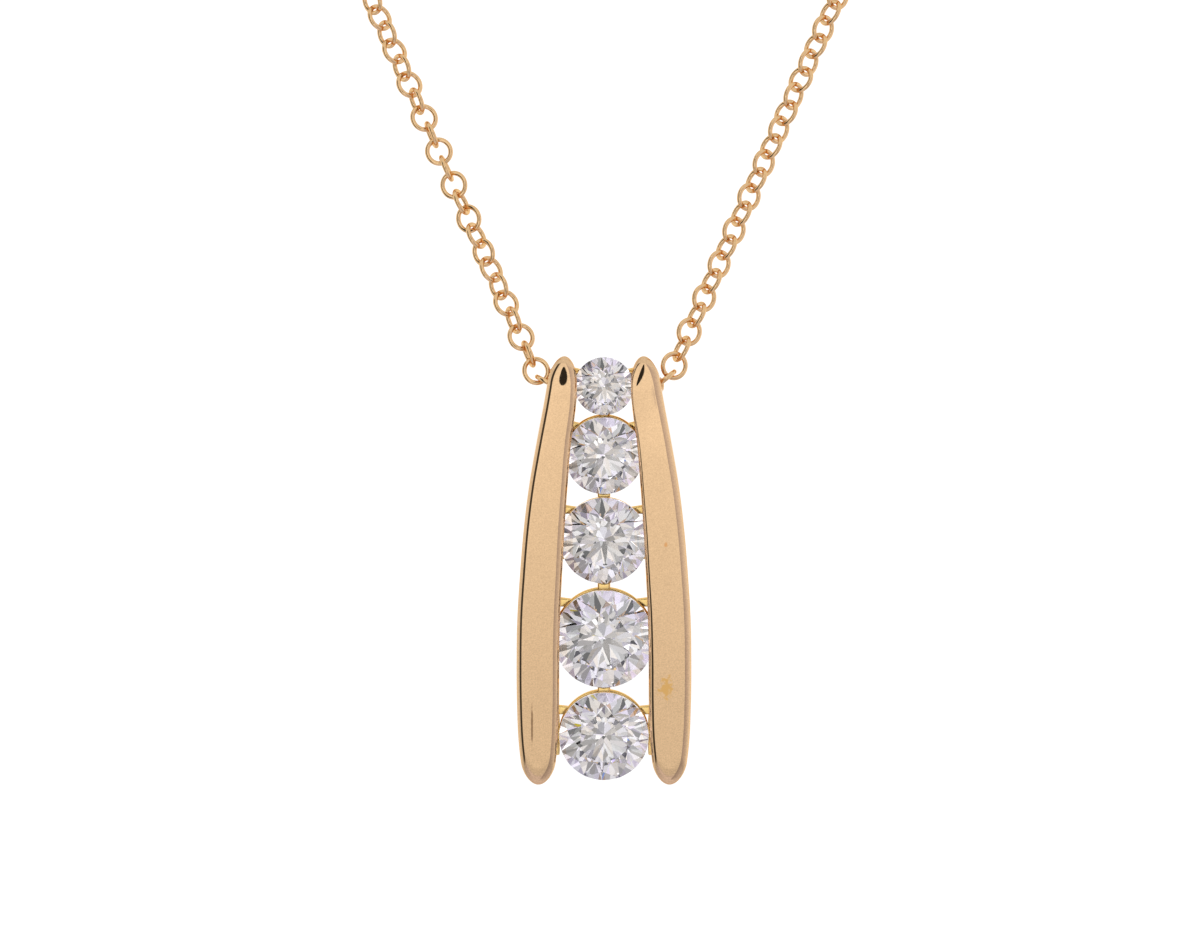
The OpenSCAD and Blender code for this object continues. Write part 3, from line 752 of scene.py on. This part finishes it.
# %% Tent
# Azimuth and height in degrees, each from, to and softness, and the share of the light that is left.
LEFT_CARD, LEFT_CARD_LIGHT = ((-70, -36, 5), (-36, 45, 8)), 0.08
LEFT_SIDE, LEFT_SIDE_LIGHT = ((-100, -40, 14), (-55, 30, 20)), 0.8
FAR_LEFT, FAR_LEFT_LIGHT = ((-150, -90, 14), (-55, 60, 20)), 0.88
LOW_EDGE, LOW_EDGE_LIGHT = (-42, -34, 3), 0.88
RIGHT_HEIGHT, RIGHT_LIGHT = (-60, 30, 20), 0.55
RIGHT_EDGE, RIGHT_FADE = (11.5, 14.5), (14.0, 128.0)  # where the right card starts, and fades out
LENS_HEIGHT, LENS_FLAT, LENS_EDGE, LENS_LIGHT = 5.0, 0.53, (8.0, 7.3), 0.03
TENT_STEPS = ((-30.0, -14.0, 0.86, 1.1), (-42.0, -33.0, 0.87, 1.0),
              (12.0, 40.0, 1.0, 0.78))  # height from, height to, light there and there
PLAIN_LIGHT = 1.12  # what the camera and matt surfaces see
lens_up = times(tree, math(tree, "SUBTRACT", height, LENS_HEIGHT), LENS_FLAT)
from_lens = distance(tree, azimuth, lens_up)
left_card = card(*LEFT_CARD)
right_fade = ramp(tree, azimuth, *RIGHT_FADE, 1.0, 0.0)
right_part = times(tree, right_fade, soft_step(tree, azimuth, *RIGHT_EDGE))
right_card = times(tree, right_part, window(*RIGHT_HEIGHT, height))
tent = 1.0
for step in TENT_STEPS:
    tent = times(tree, tent, ramp(tree, height, *step))
for mask, left_light in (
        (left_card, LEFT_CARD_LIGHT), (card(*LEFT_SIDE), LEFT_SIDE_LIGHT), (right_card, RIGHT_LIGHT),
        (card(*FAR_LEFT), FAR_LEFT_LIGHT), (window(*LOW_EDGE, height), LOW_EDGE_LIGHT),
        (soft_step(tree, from_lens, *LENS_EDGE), LENS_LIGHT)):
    tent = dimmed(tent, mask, left_light)
path = add(tree, "ShaderNodeLightPath").outputs
plain = math(tree, "ADD", path["Is Camera Ray"], path["Is Diffuse Ray"], clamp=True)
strength = add(tree, "ShaderNodeMix", {0: plain, 2: tent, 3: PLAIN_LIGHT}).outputs[0]
print("tent with", len(tree.nodes), "nodes")

# %% [markdown]
# ## What the stones see
# A cut stone shows the room in small pieces, one direction for each facet. Rays that have passed
# through a stone meet a livelier tent of the same brightness: a soft noise by direction gives every
# facet its own tone, and the colours turn lilac away from the lens and gold where the bars stand.
# Three small discs of pure colour stand for the fire that a real stone splits off.

# %% Light for the stones
ROOM_SCALE, ROOM_DETAIL, ROOM_TONES = 4.6, 1.5, (0.35, 0.63, 0.28, 1.26)
STONE_LENS_EDGE, STONE_CARD_LIGHT = (8.7, 7.9), 0.5
LILAC_FROM_LENS, HUE_SCALE, GLINT_CORE = (14, 40), 2.1, 0.8
LILAC_STEP, PEACH_STEP, LOW_STEP = (0.4, 0.52), (0.44, 0.36), (-36, -42)
BARS_SEEN = (56, 74, 4), (-40, 60, 10)  # azimuth to either side, and height
WHITE, LILAC, PEACH = (1, 1, 1, 1), (0.88, 0.8, 1.0, 1), (1.0, 0.93, 0.87, 1)
BAR_BROWN, COOL_SHADE = (0.55, 0.33, 0.18, 1), (1.0, 0.975, 1.12, 1)
GLINTS = ((34, 22, 4, (1.1, 0.9, 0.1)), (-28, -24, 3, (0.12, 0.3, 0.9)),
          (-20, 38, 4, (0.62, 0.5, 1.0)))  # azimuth, height, size in degrees, colour
in_stone = ramp(tree, noise(tree, direction, ROOM_SCALE, ROOM_DETAIL), *ROOM_TONES)
in_stone = dimmed(in_stone, soft_step(tree, from_lens, *STONE_LENS_EDGE), LENS_LIGHT)
in_stone = dimmed(in_stone, left_card, STONE_CARD_LIGHT)
strength = add(tree, "ShaderNodeMix", {0: path["Is Transmission Ray"], 2: strength, 3: in_stone}).outputs[0]
patches = noise(tree, direction, HUE_SCALE, 0.0)
lilac_share = times(tree, soft_step(tree, patches, *LILAC_STEP), soft_step(tree, from_lens, *LILAC_FROM_LENS))
hue = mixed(tree, lilac_share, WHITE, LILAC)
hue = mixed(tree, soft_step(tree, patches, *PEACH_STEP), hue, PEACH)
beside, level = BARS_SEEN
bars_seen = times(tree, window(*beside, math(tree, "ABSOLUTE", azimuth)), window(*level, height))
hue = mixed(tree, bars_seen, hue, BAR_BROWN)
for at_azimuth, at_height, size, color in GLINTS:
    aside, above = math(tree, "SUBTRACT", azimuth, at_azimuth), math(tree, "SUBTRACT", height, at_height)
    far = distance(tree, aside, above)
    hue = mixed(tree, soft_step(tree, far, size, GLINT_CORE * size), hue, (*color, 1))
shaded = math(tree, "MAXIMUM", right_card, soft_step(tree, height, *LOW_STEP))
shade_share = times(tree, shaded, math(tree, "SUBTRACT", 1.0, plain))
shade_hue = mixed(tree, shade_share, WHITE, COOL_SHADE)
tint = mixed(tree, path["Is Transmission Ray"], shade_hue, hue)
light = add(tree, "ShaderNodeBackground", {"Color": tint, "Strength": strength})
add(tree, "ShaderNodeOutputWorld", {0: light.outputs[0]})
print("world with", len(tree.nodes), "nodes")

# %% [markdown]
# ## The floor
# The jewel hangs over a plain white floor. Mirrors and stones look through it, because the tent below
# is painted already. The tent alone would light matt things evenly from all sides, so one large soft
# lamp from the left adds a little shape.

# %% Floor, soft lamp and colour
FLOOR_Z, FLOOR_SIZE, FLOOR_WHITE, FLOOR_MATT = -0.2, 6, (0.97, 0.97, 0.97, 1), 0.9
LAMP_SIZE, LAMP_WATT, LAMP_PLACE, LAMP_TURN = 0.6, 1.2, (-0.25, -0.35, 0.55), (32, 0, -35)
bpy.ops.mesh.primitive_plane_add(size=FLOOR_SIZE, location=(0, 0, FLOOR_Z))
floor = bpy.context.object
floor.name = "floor"
floor.visible_glossy = floor.visible_transmission = False
paint, _, shader = new_material("floor_white")
shader.inputs["Base Color"].default_value = FLOOR_WHITE
shader.inputs["Roughness"].default_value = FLOOR_MATT
floor.data.materials.append(paint)
lamp = bpy.data.objects.new("soft_lamp", bpy.data.lights.new("soft_lamp", "AREA"))
lamp.data.size, lamp.data.energy = LAMP_SIZE, LAMP_WATT
lamp.location = LAMP_PLACE
lamp.rotation_euler = np.radians(LAMP_TURN)
lamp.visible_glossy = False
bpy.context.scene.collection.objects.link(lamp)
bpy.context.scene.view_settings.view_transform = "Standard"
print("floor", FLOOR_Z, "m, lamp", lamp.data.energy, "W")

# %% [markdown]
# ## Polished gold
# Fourteen carat gold of a rosy yellow mirrors the tent, so its colour is the metal's own reflection
# colour. Wear is what keeps it from looking like plastic: faint clouding, fine scratches along the
# bar and small changes of gloss. Three metals share that wear, so it is a node group with its own
# inputs, and each material places it with other values.

# %% Wear group
CLOUD_SCALE, GRAIN_SCALE, SCRATCH_SCALE = 0.9, 15.0, (22.0, 22.0, 1.1)  # patches to a millimetre
CLOUD_DETAIL, GRAIN_DETAIL, SCRATCH_DETAIL = 3.0, 2.0, 3.0
CLOUD_SPAN, SCRATCH_DEPTH = (0.35, 0.65), 0.00001  # noise from bright to dull, and depth in metres
wear = bpy.data.node_groups.new("worn_polish", "ShaderNodeTree")
for name, kind, value in (
        ("Color", "Color", (0.8, 0.55, 0.33, 1)), ("Cloud", "Float", 0.06), ("Grain", "Float", 0.5),
        ("Streaks", "Float", 0.12), ("Gloss low", "Float", 0.02), ("Gloss high", "Float", 0.06),
        ("Scratches", "Float", 0.02)):
    socket = wear.interface.new_socket(name, in_out="INPUT", socket_type="NodeSocket" + kind)
    socket.default_value = value
for name, kind in (("Color", "Color"), ("Roughness", "Float"), ("Normal", "Vector")):
    wear.interface.new_socket(name, in_out="OUTPUT", socket_type="NodeSocket" + kind)
given = add(wear, "NodeGroupInput").outputs
on_piece = object_mm(wear)
cloud = noise(wear, on_piece, CLOUD_SCALE, CLOUD_DETAIL)
grain = noise(wear, on_piece, GRAIN_SCALE, GRAIN_DETAIL)
stretched = add(wear, "ShaderNodeMapping", {0: on_piece, 3: SCRATCH_SCALE}).outputs[0]
scratch = noise(wear, stretched, 1.0, SCRATCH_DETAIL)
shade = 1.0
for texture, amount in ((cloud, "Cloud"), (grain, "Grain"), (scratch, "Streaks")):
    shade = math(wear, "MULTIPLY_ADD", math(wear, "SUBTRACT", texture, 0.5), given[amount], shade)
shade_color = add(wear, "ShaderNodeCombineColor", {0: shade, 1: shade, 2: shade}).outputs[0]
tinted = mixed(wear, 1.0, given["Color"], shade_color, "MULTIPLY")
gloss = ramp(wear, cloud, *CLOUD_SPAN, given["Gloss low"], given["Gloss high"])
bump = add(wear, "ShaderNodeBump", {"Strength": given["Scratches"], "Distance": SCRATCH_DEPTH,
                                    "Height": scratch})
add(wear, "NodeGroupOutput", {"Color": tinted, "Roughness": gloss, "Normal": bump.outputs[0]})
print("wear group with", len(wear.nodes), "nodes")

# %% [markdown]
# ## Three metals
# The bars are the rosiest and the most polished. The setting was soldered and is seen only in its
# corners, where a polishing wheel doesn't reach, so it is duller; its stronger yellow is painted light,
# standing in for the orange of light bounced between gold faces there. The chain lies between
# them. One material for all would hide these joints, so each metal has its own colour and wear.

# %% Metals
EDGE_GOLD = (0.9, 0.72, 0.5, 1)  # the colour that gold mirrors at a grazing angle


def metal(name, color, **wear_values):
    """A metal whose colour, gloss and fine scratches come from the wear group."""
    made, tree, shader = new_material(name)
    shader.inputs["Metallic"].default_value = 1.0
    shader.inputs["Specular Tint"].default_value = EDGE_GOLD
    group = add(tree, "ShaderNodeGroup", node_tree=wear)
    group.inputs["Color"].default_value = (*color, 1)
    for socket, value in wear_values.items():
        group.inputs[socket.replace("_", " ")].default_value = value
    for socket, target in (("Color", "Base Color"), ("Roughness", "Roughness"), ("Normal", "Normal")):
        tree.links.new(group.outputs[socket], shader.inputs[target])
    return made, group, shader


bar_gold, bar_wear, bar_shader = metal("bar_gold", (0.80, 0.54, 0.31))
# The setting's stronger yellow is painted light: the orange of light bounced between gold faces in its
# corners.
setting_gold_bounce_tint, _, _ = metal("setting_gold_bounce_tint", (1.0, 0.69, 0.27), Cloud=0.1, Gloss_low=0.12, Gloss_high=0.22)
chain_gold, _, _ = metal("chain_gold", (0.85, 0.56, 0.29), Cloud=0.08, Scratches=0.0)
for gold, pieces in ((bar_gold, (*bars, hoops_piece)), (setting_gold_bounce_tint, (setting_piece,)),
                     (chain_gold, (front_links, back_links, clasp_piece))):
    for piece in pieces:
        piece.data.materials.append(gold)
    print(gold.name, "on", ", ".join(piece.name for piece in pieces))

# %% [markdown]
# ## Marks on the faces
# The worn bars show three marks: a small orange spot and a yellowish tarnish stain on the right bar,
# and a faint dark scratch low on the left one. They could be painted on an image, but each is small
# enough for a soft mask round a point of the face, in the object's own coordinates. It is stretched
# along the bar for the scratch, and noise gives it a ragged edge.

# %% Marks
# Place in pixels across and down, half sizes in millimetres, strength, colour, raggedness.
MARKS = ((666, 541.5, (0.1, 0.5, 0.13), 0.85, (0.74, 0.37, 0.14, 1), 0.8),
         (667, 687, (0.33, 0.6, 0.52), 0.9, (0.76, 0.44, 0.14, 1), 2.4),
         (531.5, 725, (0.06, 0.5, 1.3), 1.0, (0.36, 0.22, 0.12, 1), 0.9))
MARK_SCALE, MARK_DETAIL, MARK_EDGE = 5.0, 2.0, (1.1, 0.5)


def face_point(across_px, down_px):
    """The place on a bar's face that this pixel of the picture shows, in world millimetres."""
    x = (across_px - PENDANT_PIXEL[0]) / PIXELS_PER_MM
    down = (down_px - PENDANT_PIXEL[1]) / PIXELS_PER_MM / np.cos(HANG)
    return hang([x, face_depth(-down) - CROWN, -down])


def mark(tree, color, centre, size, strength, tint, ragged):
    """Blends a tint over a colour inside an ellipsoid round a point, with a noisy, soft edge."""
    on_piece, shift, stretch = object_mm(tree), tuple(-centre / size), tuple(1 / np.array(size))
    local = add(tree, "ShaderNodeMapping", {0: on_piece, 1: shift, 3: stretch}).outputs[0]
    far = add(tree, "ShaderNodeVectorMath", {0: local}, operation="LENGTH").outputs["Value"]
    rough = math(tree, "SUBTRACT", noise(tree, on_piece, MARK_SCALE, MARK_DETAIL), 0.5)
    far = math(tree, "ADD", far, times(tree, rough, ragged))
    return mixed(tree, times(tree, soft_step(tree, far, *MARK_EDGE), strength), color, tint)


color = bar_wear.outputs["Color"]
for across_px, down_px, *look in MARKS:
    centre = face_point(across_px, down_px)
    color = mark(bar_gold.node_tree, color, centre, *look)
    print("mark at", np.round(centre, 1), "mm")
bar_gold.node_tree.links.new(color, bar_shader.inputs["Base Color"])

# %% [markdown]
# ## Diamonds
# A round brilliant sends most of the light that enters it back out of the crown, after total
# reflections inside. The CAD stones are cut with true facet angles, so the plain glass shader with a
# diamond's refractive index, 2.42, does the rest by itself. Facets stay flat, so nothing is smoothed.
# The glass is almost white, with warmer clouds as in stones of an ordinary grade, and a worn stone
# carries a faint film that dulls it in places.

# %% Stones
WARMTH_SCALE, WARMTH_DETAIL, WARMTH_STEP, FILM_SPAN = 0.6, 1.0, (0.46, 0.6), (0.5, 0.7)
COOL_GLASS, WARM_GLASS, FILM = (0.985, 0.985, 1.0, 1), (1.0, 0.965, 0.925, 1), 0.012
DIAMOND_IOR = 2.417
diamond, tree, shader = new_material("diamond")
warmth = noise(tree, object_mm(tree), WARMTH_SCALE, WARMTH_DETAIL)
glass = mixed(tree, soft_step(tree, warmth, *WARMTH_STEP), COOL_GLASS, WARM_GLASS)
tree.links.new(glass, shader.inputs["Base Color"])
tree.links.new(ramp(tree, warmth, *FILM_SPAN, 0.0, FILM), shader.inputs["Roughness"])
shader.inputs["IOR"].default_value = DIAMOND_IOR
shader.inputs["Transmission Weight"].default_value = 1.0
for i, wide in enumerate(STONE_D):
    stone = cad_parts[f"stone_{i + 1}"]
    stone.data.materials.clear()
    stone.data.materials.append(diamond)
    print(stone.name, "of", wide, "mm is", diamond.name)
